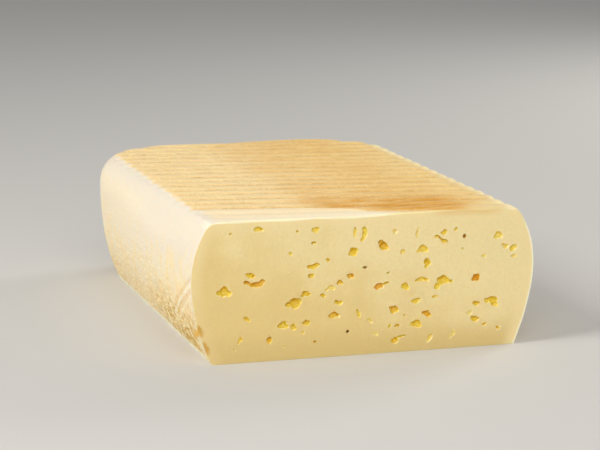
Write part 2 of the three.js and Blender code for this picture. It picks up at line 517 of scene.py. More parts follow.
@dataclass(frozen=True)
class RindFinish(Finish):
    """Cream rind: smooth and pale high on the sides, mottled low down, golden and brown on the top."""

    name: str = "cheese_rind"
    roughness: float = 0.62
    softness: float = 0.2
    soft_reach: float = 1.2 * MM
    relief: float = 0.4 * MM
    bloom: Colour = shade(233, 222, 202)
    milk: Colour = shade(245, 233, 212)
    cream: Colour = shade(247, 231, 197)
    straw: Colour = shade(252, 224, 162)
    # Darker gold low on the sides: partly the rind's own tint, partly painted shade
    foot: Colour = shade(221, 195, 127)
    fleck: Colour = shade(255, 238, 186)
    heel: Colour = shade(250, 233, 185)
    smear: Colour = shade(244, 186, 46)
    # Near-white for painted highlights on the crease ridges and on the top by the cut, and for the foot
    # line, which is partly a painted highlight
    edge: Colour = shade(255, 248, 222)
    ochre: Colour = shade(211, 167, 64)
    orange: Colour = shade(222, 166, 72)
    band: Colour = shade(244, 223, 183)
    band_right: Colour = shade(234, 197, 130)
    corner: Colour = shade(232, 207, 147)
    gold_left: Colour = shade(245, 219, 163)
    gold_right: Colour = shade(242, 211, 144)
    brown: Colour = shade(216, 155, 52)
    dark: Colour = shade(172, 112, 34)
    smear_height: float = 12.4 * MM
    smear_slope: float = 0.3
    ripe_start: float = 16.5 * MM
    # From and to, right of the middle, and how much further back the ripe top starts, in millimetres
    ripe_steps: tuple[tuple[float, ...], ...] = (
        (-45, 8, -5),
        (-6, 10, -1.7),
        (23, 35, -1.6),
        (38, 58, 18),
    )

    def paint(self, spot: Spot) -> tuple[Socket, Socket]:
        """Draws the colour and the relief of sides and top.

        Args:
            spot: Where on the block.

        Returns:
            The colour, and the height of the fine relief.
        """
        g = spot.g
        level = g.minus(spot.height, spot.sizes.height)
        edge = g.math("MULTIPLY_ADD", g.noise(spot.place, 5 * MM), 1.5 * MM, level)
        on_top = g.along(edge, -2.4, -1.0)
        ripe = self.ripeness(spot)
        side, top = self.side_colour(spot), self.top_colour(spot, ripe)
        return g.cover(side, top, on_top), self.grain(spot, g.times(on_top, ripe))

    def side_colour(self, spot: Spot) -> Socket:
        """Colours the sides: smooth bloom high up, straw and ochre patches low down, orange by the cut,
        darker gold at the foot that is partly painted shade, painted shade in the crease valleys, painted
        highlights on the crease ridges, and a white line along the foot that is partly a painted
        highlight.

        Args:
            spot: Where on the block.

        Returns:
            The colour.
        """
        g, place, from_cut, height = spot.g, spot.place, spot.from_cut, spot.height
        mottle = g.swing(g.stretch(place, (1, 0.6, 1), 0.3), 8 * MM, 4, 0.7)
        level = g.math("MULTIPLY_ADD", mottle, 18 * MM, height)
        level = g.plus(level, g.along(from_cut, 30, 110, 0, 7 * MM))
        near = g.along(from_cut, 100, 40, 0.3, 1)
        far = g.times(g.along(from_cut, 60, 110, 0, 0.55), g.along(height, 50, 44))
        warm = g.math("MAXIMUM", g.along(level, 40, 26), far)
        fresh = g.along(from_cut, 15, 60, 0, 0.6)
        colour = g.cover(self.bloom, self.milk, g.along(height, 47, 40), fresh)
        colour = g.cover(colour, self.cream, warm)
        yellow = g.along(from_cut, 100, 45, 0.5, 1)
        colour = g.cover(colour, self.straw, g.along(level, 27, 12), yellow)
        # Darker gold low down near the front: partly the rind's own tint, partly painted shade
        colour = g.cover(colour, self.foot, g.along(level, 14, 3), near)
        streak = g.noise(g.stretch(place, (1, 1, 0.3)), 2.8 * MM, 3, 0.65)
        faint = g.along(level, 48, 24, 0.1, 0.75)
        colour = g.cover(colour, self.straw, g.ramp(streak, 0.5, 0.58), faint)
        colour = g.cover(colour, self.cream, g.ramp(streak, 0.46, 0.39), faint)
        patch = g.noise(g.stretch(place, (1, 0.45, 1), 0.7), 1.7 * MM, 4, 0.72)
        strong = g.times(g.along(level, 25, 9), near, g.along(from_cut, 3, 12, 0.4, 1))
        colour = g.cover(colour, self.ochre, g.ramp(patch, 0.49, 0.56, 0, 0.95), strong)
        colour = g.cover(colour, self.fleck, g.ramp(patch, 0.46, 0.41, 0, 0.95), strong)
        fold = spot.folds()
        # Painted shade: darker orange in the crease valleys
        valley = g.ramp(fold, -0.04, -0.18, 0, 0.28)
        colour = g.cover(colour, self.orange, valley, g.along(height, 8, 14))
        # Painted highlight on the crease ridges
        colour = g.cover(colour, self.edge, g.ramp(fold, 0, 0.8, 0, 0.75))
        # A white line along the foot: partly a pale fringe of rind, partly a painted highlight
        colour = g.cover(colour, self.edge, g.along(height, 2.4, 1.2, 0, 0.85))
        pale = g.along(from_cut, 10, 6, 0, 0.85)
        colour = g.cover(colour, self.heel, pale, g.along(height, 11, 9))
        close = g.times(g.along(from_cut, 30, 8), g.along(height, 18, 12))
        close = g.times(close, g.along(height, 8, 10))
        fleck = g.noise(g.stretch(place, (1, 0.5, 1), 0.9), 3.0 * MM, 3, 0.7)
        colour = g.cover(colour, self.orange, close, g.ramp(fleck, 0.52, 0.6, 0, 0.35))
        colour = g.cover(colour, self.bloom, g.along(from_cut, 3, 0.5, 0, 0.6))
        drop = g.math("MULTIPLY_ADD", from_cut, self.smear_slope, g.minus(height, self.smear_height))
        off = g.plus(g.math("ABSOLUTE", drop), g.times(mottle, 3 * MM))
        smear = g.times(g.along(off, 2, 0.6), g.along(from_cut, 18, 5, 0, 0.85))
        return g.cover(colour, self.smear, smear, g.along(spot.side, 0, -30))

    def ripeness(self, spot: Spot) -> Socket:
        """Finds where the top has ripened: behind a pale band that is deeper at the left.

        Args:
            spot: Where on the block.

        Returns:
            How ripe the top is, 0 to 1.
        """
        g, side = spot.g, spot.side
        steps = [g.along(side, low, high, 0, change * MM) for low, high, change in self.ripe_steps]
        start = g.plus(self.ripe_start, *steps)
        soft = g.along(side, 25, 48, 2.6 * MM, 9 * MM)
        uneven = g.times(g.swing(spot.place, 6 * MM, 3, 0.6), 3 * MM)
        behind = g.minus(g.plus(spot.across_ribs(), uneven), start)
        left = g.along(side, -58.5, -55.5)
        # The ripe colour stops short of the right edge, so that the pale strip there, partly a painted
        # highlight, shows
        right = g.along(side, 58.5, 53, 0.05, 1)
        return g.times(g.ramp(behind, 0, soft), left, right)

    def top_colour(self, spot: Spot, ripe: Socket) -> Socket:
        """Colours the top: a pale band, golden ribs, and brown in the grooves and towards the right, with
        a painted highlight along the cut and a pale strip along the right edge that is partly a painted
        highlight.

        Args:
            spot: Where on the block.
            ripe: How ripe the top is.

        Returns:
            The colour.
        """
        g, place, side = spot.g, spot.place, spot.side
        wave = g.wave(g.attribute(Mark.RIB))
        drawn = g.noise(g.stretch(place, (0.8, 0.6, 1), 0.5), 1.6 * MM, 3, 0.65)
        cloud = g.noise(g.stretch(place, (0.5, 1, 1), 0.9), 16 * MM, 3, 0.55)
        gold = g.cover(self.gold_left, self.gold_right, g.along(side, -30, 35))
        band = g.cover(self.band, self.band_right, g.along(side, 2, 18))
        band = g.cover(band, self.corner, g.along(side, 36, 50))
        # A pale strip along the right edge of the top: partly the rind's pale shoulder, partly a painted
        # highlight
        band = g.cover(band, self.heel, g.along(side, 53, 58, 0, 0.85))
        band = g.cover(band, self.bloom, g.along(side, -52, -58))
        # A painted highlight on the top along the cut, towards the left
        rim = g.along(spot.from_cut, 11, 4, 0, 0.3)
        band = g.cover(band, self.edge, rim, g.along(side, 22, 8))
        near = g.along(spot.across_ribs(), 48, 24, 0.35, 1)
        middle = g.along(g.math("ABSOLUTE", g.minus(side, 15 * MM)), 38, 18, 0.12, 1)
        streak = g.noise(g.stretch(place, (0.15, 1, 1), 0.2), 2.6 * MM, 3, 0.6)
        tan = g.times(near, middle, g.ramp(cloud, 0.3, 0.6, 0.45, 0.9))
        tan = g.times(tan, g.ramp(streak, 0.36, 0.64, 0.6, 1.15))
        groove = g.ramp(drawn, 0.38, 0.6, 0.12, 0.42)
        tan = g.math("MULTIPLY_ADD", g.math("POWER", wave, 4), groove, tan)
        colour = g.cover(g.cover(band, gold, ripe), self.brown, ripe, tan)
        line = g.times(g.math("POWER", wave, 14), g.ramp(drawn, 0.36, 0.55, 0.45, 1))
        return g.cover(colour, self.dark, line, g.along(side, -57, -51, 0, 0.9), ripe)

    def grain(self, spot: Spot, ribbed: Socket) -> Socket:
        """Draws the fine marks: streaks that fade up the sides, grain on the ribs.

        Args:
            spot: Where on the block.
            ribbed: How far the surface belongs to the ripe top.

        Returns:
            The height of the marks.
        """
        g = spot.g
        streak = g.noise(g.stretch(spot.place, (1, 0.5, 0.9)), 2.2 * MM, 3, 0.68)
        side = g.times(streak, g.along(spot.height, 38, 10, 0.7, 3.5))
        drawn = g.noise(g.stretch(spot.place, (0.5, 1, 1)), 2.4 * MM, 3, 0.65)
        fine = g.times(g.noise(spot.place, 0.8 * MM, 3, 0.6), 0.6)
        return g.plus(side, g.times(drawn, ribbed, 3.0), fine)


@dataclass(frozen=True)
class PasteFinish(Finish):
    """Pale yellow paste on the cut, with painted light and shade that make it paler higher up and deeper
    towards the base, and a paler margin along the rind that is partly painted light.
    """

    name: str = "cheese_paste"
    roughness: float = 0.5
    softness: float = 0.4
    soft_reach: float = 2 * MM
    relief: float = 0.15 * MM
    deep: Colour = shade(233, 207, 139)
    pale: Colour = shade(244, 225, 168)
    foot: Colour = shade(220, 194, 127)
    # Paler margin along the rind: partly the paste's own margin, partly painted light from behind
    rim: Colour = shade(244, 224, 168)
    # Near-white for the rind's pale layer and for painted highlights along the cut's edges
    skin_and_highlight: Colour = shade(255, 247, 220)
    crust: Colour = shade(226, 190, 112)
    stain: Colour = shade(204, 156, 40)
    stain_heights: tuple[float, ...] = (12.9 * MM, 6.6 * MM)

    def paint(self, spot: Spot) -> tuple[Socket, Socket]:
        """Draws the cloudy paste with its painted light and shade, its margins with their painted
        highlights, and two stains at the left edge.

        Args:
            spot: Where on the block.

        Returns:
            The colour, and the height of the fine relief.
        """
        g, place, side, height = spot.g, spot.place, spot.side, spot.height
        cloud = g.math("MULTIPLY_ADD", g.noise(place, 22 * MM, 3), 0.6, 0.2)
        cloud = g.plus(cloud, g.along(side, -50, 60, -0.12, 0.26))
        # Painted light and shade: the paste is paler higher up and deeper lower down
        cloud = g.plus(cloud, g.along(height, 4, 48, -0.12, 0.16))
        colour = g.cover(self.deep, self.pale, g.ramp(cloud, 0.36, 0.72))
        # Painted shade: deeper towards the base
        colour = g.cover(colour, self.foot, g.along(height, 14, 1, 0, 0.9))
        speck = g.noise(place, 1.4 * MM, 4, 0.7)
        colour = g.cover(colour, self.foot, g.ramp(speck, 0.4, 0.66, 0, 0.14))
        margin = g.attribute(Mark.MARGIN)
        left = g.along(height, 18, 30, 0.25, 0.65)
        share = g.along(side, -30, 30, left, 0.9)
        # A paler margin along the rind, strongest on the right: partly the paste's own margin, partly
        # painted light from behind
        colour = g.cover(colour, self.rim, g.along(margin, 6, 0.5), share)
        # A thin white line at the right edge of the cut: partly the rind's pale layer, partly a painted
        # highlight
        skin_and_highlight = g.times(g.along(margin, 0.9, 0.3), g.along(side, 53, 57, 0, 0.8))
        colour = g.cover(colour, self.skin_and_highlight, skin_and_highlight, g.along(height, 49, 43))
        lip = g.times(g.along(margin, 3, 0.4, 0, 0.5), g.along(height, 44, 48))
        right = g.times(g.along(side, 22, 33), g.along(side, 56, 46))
        colour = g.cover(colour, self.crust, lip, right)
        # A painted highlight along the top edge of the cut, towards the left
        pale = g.times(g.along(margin, 0.6, 0.2, 0, 0.6), g.along(height, 49, 50.5))
        colour = g.cover(colour, self.skin_and_highlight, pale, g.along(side, 16, 4))
        rough = g.times(g.swing(place, 1.6 * MM, 3, 0.6), 2.4 * MM)
        at_left = g.along(side, -30, -40)
        for stain_height in self.stain_heights:
            over = g.times(g.minus(height, stain_height), 0.7)
            off = g.plus(g.vector("LENGTH", g.join(margin, over)), rough)
            colour = g.cover(colour, self.stain, at_left, g.along(off, 2.3, 0.8, 0, 0.85))
        drawn = g.noise(g.stretch(place, (1, 1, 0.2)), 3 * MM)
        return colour, g.plus(g.noise(place, 0.7 * MM, 3), drawn)


@dataclass(frozen=True)
class EyeFinish(Finish):
    """Moist golden lining of the eyes, tinted eye by eye, with painted shade under their upper edges,
    painted light on their lower walls and a painted highlight at the lip.
    """

    name: str = "cheese_eye"
    roughness: float = 0.34
    softness: float = 0.2
    soft_reach: float = 0.8 * MM
    relief: float = 0.08 * MM
    # Painted highlight for the mouth of each eye
    lip: Colour = shade(247, 228, 164)
    pale: Colour = shade(243, 223, 146)
    gold: Colour = shade(243, 217, 74)
    orange: Colour = shade(237, 177, 44)
    dark: Colour = shade(146, 108, 44)
    # Painted shade for the walls under the eyes' upper edges
    overhang_shade: Colour = shade(202, 148, 20)
    # Painted light for the eyes' lower walls, which face the light
    lower_wall_light: Colour = shade(252, 226, 118)

    def paint(self, spot: Spot) -> tuple[Socket, Socket]:
        """Draws the lining, from a pale lip inwards, with a painted highlight at the lip and painted shade
        and light by which way each wall faces.

        Args:
            spot: Where on the block.

        Returns:
            The colour, and the height of the fine relief.
        """
        g = spot.g
        depth = g.math("MULTIPLY_ADD", g.noise(spot.place, 2 * MM, 3), 0.8 * MM, spot.from_cut)
        tint, over = g.attribute(Mark.TINT), g.attribute(Mark.OVERHANG)
        lining = g.cover(self.pale, self.gold, g.ramp(tint, 0, 0.5))
        lining = g.cover(lining, self.orange, g.ramp(tint, 0.55, 1))
        lining = g.cover(lining, self.dark, g.ramp(tint, 1, 1.5))
        # Painted shade: darker amber on the walls under the upper edges, which face away from the light
        lining = g.cover(lining, self.overhang_shade, g.ramp(over, -0.2, 0.75), g.ramp(tint, 0, 0.9, 0.1, 0.9))
        # Painted light: paler yellow on the lower walls, which face the light
        lining = g.cover(lining, self.lower_wall_light, g.ramp(over, -0.2, -0.85), g.ramp(tint, 1.1, 0.6, 0.1, 0.5))
        # Painted highlight: a pale lip at each mouth gives way to the lining deeper in
        colour = g.cover(self.lip, lining, g.along(depth, 0.4, 0.8))
        return colour, g.noise(spot.place, 0.5 * MM)


@dataclass
class Loaf:
    """The ripened loaf as far as the cut: swollen rind sides, rounded end and ribbed top."""

    sizes: LoafSizes
    columns: int = 100
    foot_rows: int = 22
    wall_rows: int = 16
    shoulder_rows: int = 12
    row_step: float = 0.92 * MM
    corner_steps: int = 52
    # Distances of the first rows behind the cut, in millimetres
    first_rows: tuple[float, ...] = (0, 0.1, 0.25, 0.45, 0.7, 1.0, 1.4, 1.9, 2.5)
    lumps: float = 0.5 * MM
    wrinkles: float = 0.5 * MM
    creases: float = 0.25 * MM
    seed: float = 4.0
    stations: int = field(init=False)
    rows: int = field(init=False)

    @property
    def levels(self) -> int:
        """Steps from the foot of a wall to the top."""
        return self.foot_rows + self.wall_rows + self.shoulder_rows

    @property
    def walls(self) -> np.ndarray:
        """Numbers of the walls' vertices, by station and level."""
        return np.arange(self.stations * (self.levels + 1)).reshape(self.stations, -1)

    def build(self) -> bpy.types.Mesh:
        """Makes the rind, still open at the cut and underneath.

        Returns:
            The mesh, with the turns of its ribs stored on it.
        """
        s = self.sizes
        points, faces = self.lay_top(self.raise_walls(*self.plan()))
        mesh = new_mesh("loaf_rind", points + (s.middle, s.cut, 0), faces)
        piece = new_object("loaf_rind", mesh)
        names = {"Rib pitch": s.rib_pitch, "Rib depth": s.rib_depth, "Edge roll": s.edge_roll}
        names |= {"Lumps": self.lumps, "Wrinkles": self.wrinkles, "Creases": self.creases}
        names |= {"Seed": self.seed}
        result = run_tree(piece, self.relief_tree(names), names)
        bpy.data.objects.remove(piece)
        return result

    def plan(self) -> tuple[np.ndarray, np.ndarray]:
        """Walks round the base from the left of the cut to its right.

        Returns:
            The stations on the base's outline, and the directions straight out of it.
        """
        s = self.sizes
        near = np.array(self.first_rows) * MM
        count = round((s.corner_y - near[-1]) / self.row_step)
        runs = np.concatenate([near, np.linspace(near[-1], s.corner_y, count + 1)[1:]])
        angles = np.linspace(0, math.pi / 2, self.corner_steps + 1)[1:]
        turn = np.column_stack([-np.cos(angles), np.sin(angles)])
        straight = np.column_stack([np.full(len(runs), -s.base_width / 2), runs])
        left = np.concatenate([straight, turn * s.end_radius + (-s.corner_x, s.corner_y)])
        left_way = np.concatenate([np.tile([-1.0, 0.0], (len(runs), 1)), turn])
        back_x = np.linspace(-s.corner_x, s.corner_x, self.columns + 1)[1:-1]
        back = np.column_stack([back_x, np.full(len(back_x), left[-1, 1])])
        back_way = np.tile([0.0, 1.0], (len(back), 1))
        mirror = np.array([-1.0, 1.0])
        base = np.concatenate([left, back, left[::-1] * mirror])
        outward = np.concatenate([left_way, back_way, left_way[::-1] * mirror])
        self.rows = len(left) - 1
        self.stations = len(base)
        return base, outward

    def raise_walls(self, base: np.ndarray, outward: np.ndarray) -> np.ndarray:
        """Raises each station along the wall's profile: foot, swollen side and rounded shoulder.

        Args:
            base: The stations on the base's outline.
            outward: The directions straight out of it.

        Returns:
            The vertices, station by station and from the foot up.
        """
        s = self.sizes
        count, raw = len(base), s.height + s.trim
        back = (base[:, 1] / s.length).clip(0, 1)
        swell = np.interp(back, [0, 1], s.swell_height) * s.height
        top = np.interp(back, [0, 1], s.top_lean) * s.height
        whole = np.interp(outward[:, 0], [-1, 1], [s.left_shoulder, s.right_shoulder])
        fresh = np.interp(outward[:, 0], [-1, 1], s.cut_shoulders)
        shoulder = fresh + (whole - fresh) * (base[:, 1] / s.shoulder_run).clip(0, 1)
        full = np.full(count, s.swell)
        lean = np.column_stack([full, top - raw])
        lean *= (shoulder / np.linalg.norm(lean, axis=1))[:, None]
        start = lean + (0, raw)
        foot = np.zeros((count, 2))
        low = np.column_stack([full, np.interp(outward[:, 0], [-1, 1], s.foot_lean) * s.height])
        belly, high = np.column_stack([full, swell]), np.column_stack([full, top])
        corner, end = np.tile([0, raw], (count, 1)), np.column_stack([-shoulder, np.full(count, raw)])
        parts = [(foot, low, belly, self.foot_rows), (belly, high, start, self.wall_rows)]
        parts.append((start, corner, end, self.shoulder_rows))
        rises = [foot[:, None]]
        for first, pull, last, steps in parts:
            t = np.linspace(0, 1, steps + 1)[1:, None]
            bend = (1 - t) ** 2 * first[:, None] + 2 * t * (1 - t) * pull[:, None]
            rises.append(bend + t**2 * last[:, None])
        rise = np.concatenate(rises, axis=1)
        flat = base[:, None] + outward[:, None] * rise[:, :, :1]
        return np.concatenate([flat, rise[:, :, 1:]], axis=2).reshape(-1, 3)

    def lay_top(self, points: np.ndarray) -> tuple[np.ndarray, list[list[int]]]:
        """Spans the top between the shoulders with a grid that runs on from the walls.

        Args:
            points: The walls' vertices.

        Returns:
            All vertices, and all faces of walls and top.
        """
        shoulder = self.walls[:, -1]
        grid = np.empty((self.rows + 1, self.columns + 1), int)
        grid[:, 0] = shoulder[: self.rows + 1]
        grid[:, -1] = shoulder[::-1][: self.rows + 1]
        grid[-1] = shoulder[self.rows : self.rows + self.columns + 1]
        grid[:-1, 1:-1] = len(points) + np.arange(self.rows * (self.columns - 1)).reshape(self.rows, -1)
        inner = span(points[grid[:-1, 0]], points[grid[:-1, -1]], self.columns)
        points = np.concatenate([points, inner.reshape(-1, 3)])
        return points, quads(self.walls) + quads(grid)

    def relief_tree(self, names: dict[str, float]) -> bpy.types.NodeTree:
        """Builds the tree that presses ribs into the top and roughens the rind.

        Args:
            names: The tree's named inputs.

        Returns:
            The tree.
        """
        s = self.sizes
        g, given = geometry_tree("rind_relief", names)
        size = given.outputs
        spot = Spot(g, g.result("GeometryNodeInputPosition"), s)
        place, side, from_cut = spot.place, spot.side, spot.from_cut
        normal = g.result("GeometryNodeInputNormal")
        seeded = g.vector("ADD", place, g.join(size["Seed"]))
        facing_up = g.axes(normal)["Z"]
        upright = g.ramp(facing_up, 0.85, 0.4)
        lumps = g.times(g.swing(seeded, 24 * MM), size["Lumps"])
        drawn = g.swing(g.stretch(seeded, (1, 1, 0.4)), 4 * MM, 3, 0.55)
        wrinkle = g.times(drawn, size["Wrinkles"], g.along(spot.height, 44, 18, 0.25, 1))
        fold = g.times(spot.folds(), size["Creases"])
        out = g.plus(lumps, g.times(g.plus(wrinkle, fold), upright))
        out = g.times(out, g.along(spot.height, 0, 4, 0.6, 1))
        short = g.minus(1, g.math("DIVIDE", from_cut, size["Edge roll"]))
        short = g.math("POWER", g.math("MAXIMUM", short, 0), 2)
        inset = g.minus(1, g.math("SQRT", g.math("MAXIMUM", g.minus(1, short), 0)))
        inset = g.times(inset, size["Edge roll"], g.along(side, 15, 42, 1, 0.35))
        inset = g.times(inset, g.along(side, -52, -35, 0.45, 1))
        out = g.math("MULTIPLY_ADD", inset, g.times(upright, -0.15), out)
        wander = g.times(g.swing(seeded, 28 * MM), 1.6 * MM)
        across = g.plus(spot.across_ribs(), wander)
        turns = g.math("DIVIDE", g.minus(across, s.rib_start), size["Rib pitch"])
        worn = g.times(g.ramp(g.noise(seeded, 12 * MM), 0.3, 0.7, 0.8, 1.15), size["Rib depth"])
        worn = g.times(worn, g.ramp(across, 0, s.worn_to, s.worn_rib, 1))
        pressed = g.times(g.math("POWER", g.wave(turns), 4), worn)
        shoulder = g.times(g.ramp(facing_up, 0.1, 0.5), g.ramp(facing_up, 0.99, 0.85))
        shoulder = g.times(shoulder, g.along(side, 40, 52, 0, 0.9))
        shoulder = g.times(shoulder, g.along(from_cut, 5, 16))
        out = g.minus(out, g.times(pressed, shoulder))
        rough = g.noise(g.stretch(seeded, (0.15, 1, 1)), 2.4 * MM, 2, 0.6)
        ceiling = g.minus(s.height, pressed)
        ceiling = g.math("MULTIPLY_ADD", g.minus(rough, 0.6), 0.25 * MM, ceiling)
        now = g.axes(g.vector("ADD", place, g.vector("SCALE", normal, out)))
        top = g.minus(g.math("SMOOTH_MIN", now["Z"], ceiling, s.rib_softness), inset)
        put = g.join(now["X"], now["Y"], g.math("MAXIMUM", top, 0))
        marked = g.keep(size["Geometry"], Mark.RIB, turns)
        g.node("NodeGroupOutput", {0: g.result("GeometryNodeSetPosition", {0: marked, "Position": put})})
        return g.tree


@dataclass
class Eyes:
    """The eyes of the cut: lumps that are fused and then taken out of the paste."""

    sizes: LoafSizes
    seed: int = 11
    lump_detail: int = 4
    grain: float = 0.18 * MM
    wobble: float = 1.5 * MM
    wobble_size: float = 1.5 * MM
    flare: float = 0.25 * MM
    flare_depth: float = 0.7 * MM
    depth: float = 0.7
    least_depth: float = 1.3
    least_points: float = 60
    shade_way: tuple[float, float, float] = (-0.5, 0.0, 0.85)
    # Place along an eye, and reach and rise as shares of its length and height
    lobe_plan: tuple[tuple[float, ...], ...] = ((0, 0.36, 0.53), (-1, 0.24, 0.32), (1, 0.24, 0.32))
    # How far a lobe may differ: turns in radians, slips and reach as shares of the eye's length or height
    lobe_turn: float = 0.6
    tip: float = 0.3
    twist: float = 0.4
    least_reach: float = 0.4
    overlap: float = 0.7
    reach_spread: tuple[float, float] = (0.85, 1.1)
    rise_spread: tuple[float, float] = (0.85, 1.2)
    slip_along: float = 0.08
    slip_across: float = 0.12
    # The small eyes, in millimetres and degrees, and the share of them that stays from left to right
    small_count: int = 14
    small_across: tuple[float, float] = (-56, 60)
    small_up: tuple[float, float] = (3.5, 48)
    small_lengths: tuple[float, ...] = (0.8, 1.0, 1.3, 1.6)
    small_spread: tuple[float, float] = (0.85, 1.15)
    small_heights: tuple[float, float] = (0.5, 0.9)
    small_turns: tuple[float, float] = (-50, 50)
    small_bends: tuple[float, float] = (-0.5, 0.5)
    small_tints: tuple[float, float] = (0.1, 0.7)
    small_gap: float = 3.4
    crowd_across: tuple[float, float] = (-58, 2)
    crowd_shares: tuple[float, float] = (0.35, 1)
    # Across and up the cut face, length, height, turn in degrees, bend and tint, in millimetres
    large: tuple[tuple[float, ...], ...] = (
        (-53.5, 26.5, 4.8, 3.0, 0, -0.3, 0.6),
        (-42.0, 28.7, 6.6, 2.0, 0, 0.9, 0.85),
        (-43.5, 32.1, 3.2, 1.6, -20, 0, 0.6),
        (-27.2, 20.6, 5.2, 3.2, 18, 0.4, 0.65),
        (-23.0, 23.8, 3.2, 1.5, 10, -0.5, 0.6),
        (-31.5, 12.7, 3.6, 2.6, -8, -0.4, 0.6),
        (-20.3, 34.2, 4.2, 1.7, 14, 0.3, 0.6),
        (-20.8, 30.7, 2.4, 1.5, 0, 0, 0.6),
        (-13.6, 25.5, 3.4, 1.4, 0, -0.9, 0.2),
        (-11.9, 15.4, 3.6, 1.8, 0, -0.5, 0.75),
        (-10.5, 20.0, 3.1, 1.4, -10, 0.3, 0.55),
        (-5.1, 38.4, 2.8, 2.4, 20, 0.4, 0.5),
        (-0.7, 45.0, 5.0, 1.9, 82, 0.3, 0.4),
        (4.9, 25.0, 3.8, 2.4, 10, 0, 0.95),
        (7.6, 26.2, 2.0, 0.7, 30, 0, 0.5),
        (6.7, 40.0, 4.2, 2.9, -38, 0.3, 0.75),
        (10.8, 16.2, 2.7, 2.2, -30, 0, 0.75),
        (11.1, 4.6, 2.4, 2.3, 0, 0, 0.7),
        (13.7, 5.9, 2.8, 0.8, 12, 0, 0.5),
        (15.1, 24.4, 3.1, 2.1, -12, 0, 0.45),
        (19.3, 19.0, 3.4, 1.7, 8, 0.3, 0.5),
        (19.4, 10.1, 4.2, 2.4, 0, -0.3, 0.45),
        (21.5, 26.6, 4.4, 1.3, 0, -0.3, 0.4),
        (21.7, 38.1, 3.8, 2.4, 0, -0.5, 0.35),
        (23.5, 32.7, 3.1, 2.2, 75, 0.3, 0.45),
        (23.7, 13.6, 2.8, 2.1, -20, 0, 0.8),
        (27.2, 42.4, 1.8, 0.8, -16, 0, 0.6),
        (28.7, 41.5, 2.0, 0.9, -50, 0, 0.7),
        (30.3, 40.5, 2.3, 1.1, -4, 0, 0.6),
        (29.8, 26.0, 4.2, 3.1, 0, 0, 0.6),
        (27.5, 23.8, 2.5, 1.6, 25, 0, 0.45),
        (32.5, 25.4, 2.4, 0.8, -6, 0, 0.5),
        (33.6, 5.5, 3.2, 1.3, 75, 0.6, 0.1),
        (42.4, 10.7, 3.0, 2.0, -10, 0, 0.5),
        (40.2, 13.1, 1.8, 1.5, 0, 0, 0.1),
        (42.6, 26.1, 3.1, 2.6, 30, 0, 1),
        (48.9, 17.1, 4.8, 2.5, -28, -0.6, 0.6),
        (51.3, 41.4, 3.0, 2.3, 0, -0.4, 0.3),
        (57.3, 36.4, 2.6, 2.0, 30, 0, 0.35),
        (57.4, 33.6, 1.8, 1.0, 0, 0, 0.1),
        (-47.6, 8.4, 2.8, 1.4, 65, 0.6, 0.3),
        (-45.0, 15.9, 2.4, 1.2, -38, 0, 0.35),
        (-40.5, 48.5, 2.8, 1.8, 0, -0.4, 0.4),
        (-36.6, 7.8, 2.2, 1.4, 80, 0, 0.75),
        (-27.5, 11.9, 2.1, 1.9, 0, 0, 0.4),
        (-22.7, 13.3, 2.1, 1.9, 20, 0, 0.65),
        (-19.2, 47.5, 2.7, 1.7, 10, 0.3, 0.4),
        (-5.9, 29.6, 2.2, 1.8, -20, 0, 0.8),
        (-4.4, 45.7, 3.2, 1.2, 85, 0, 0.3),
        (-3.0, 15.5, 2.6, 1.3, -60, 0.3, 0.35),
        (1.5, 12.5, 2.1, 1.6, -40, 0, 0.15),
        (3.6, 7.5, 2.1, 1.0, -10, 0, 0.1),
        (19.7, 44.4, 3.3, 1.0, 75, 0, 0.1),
        (24.7, 4.6, 3.2, 1.3, 58, 0.3, 0.3),
        (26.6, 19.8, 1.6, 0.8, 0, 0, 0.3),
        (43.1, 16.4, 2.5, 1.1, 0, 0, 0.6),
        (-10.0, 27.5, 2.1, 1.5, 0, -0.4, 0.65),
        (30.0, 44.0, 1.7, 1.5, 0, 0, 0.4),
        (54.0, 37.5, 2.2, 1.6, -30, 0, 0.25),
        (11.0, 45.0, 1.3, 1.8, 0, 0, 0.1),
        (14.0, 37.5, 1.6, 1.4, 0, 0, 0.25),
        (-20.0, 42.5, 1.2, 1.1, 0, 0, 0.5),
        (-0.5, 32.5, 1.1, 0.9, 0, 0, 1.3),
        (9.0, 10.0, 1.4, 1.1, 40, 0, 0.4),
        (12.0, 10.0, 1.6, 0.9, 20, 0, 0.7),
        (-7.0, 9.0, 1.0, 0.8, 0, 0, 1.5),
        (38.0, 42.0, 0.7, 1.2, 0, 0, 1.3),
        (8.5, 30.0, 1.0, 0.8, 0, 0, 0.6),
        (-19.5, 6.0, 1.0, 1.0, 0, 0, 0.7),
    )

    def build(self, lining: bpy.types.Material) -> bpy.types.Object:
        """Makes the lumps as one object that the block is cut with.

        Args:
            lining: The finish that the cut surfaces keep.

        Returns:
            The object.
        """
        draw = np.random.default_rng(self.seed)
        rows = list(self.large) + self.small(draw)
        lobes = np.array([lobe for row in rows for lobe in self.lobes(row, draw)])
        mesh = new_mesh("eye_places", lobes[:, :3], [])
        store(mesh, "lobe_size", lobes[:, 3:6])
        store(mesh, "lobe_turn", lobes[:, 6:9])
        store(mesh, "lobe_tint", lobes[:, 9])
        piece = new_object("eye_lumps", mesh)
        names = {"Grain": self.grain, "Wobble": self.wobble, "Flare": self.flare}
        piece.data = run_tree(piece, self.lump_tree(names, lining), names)
        return piece

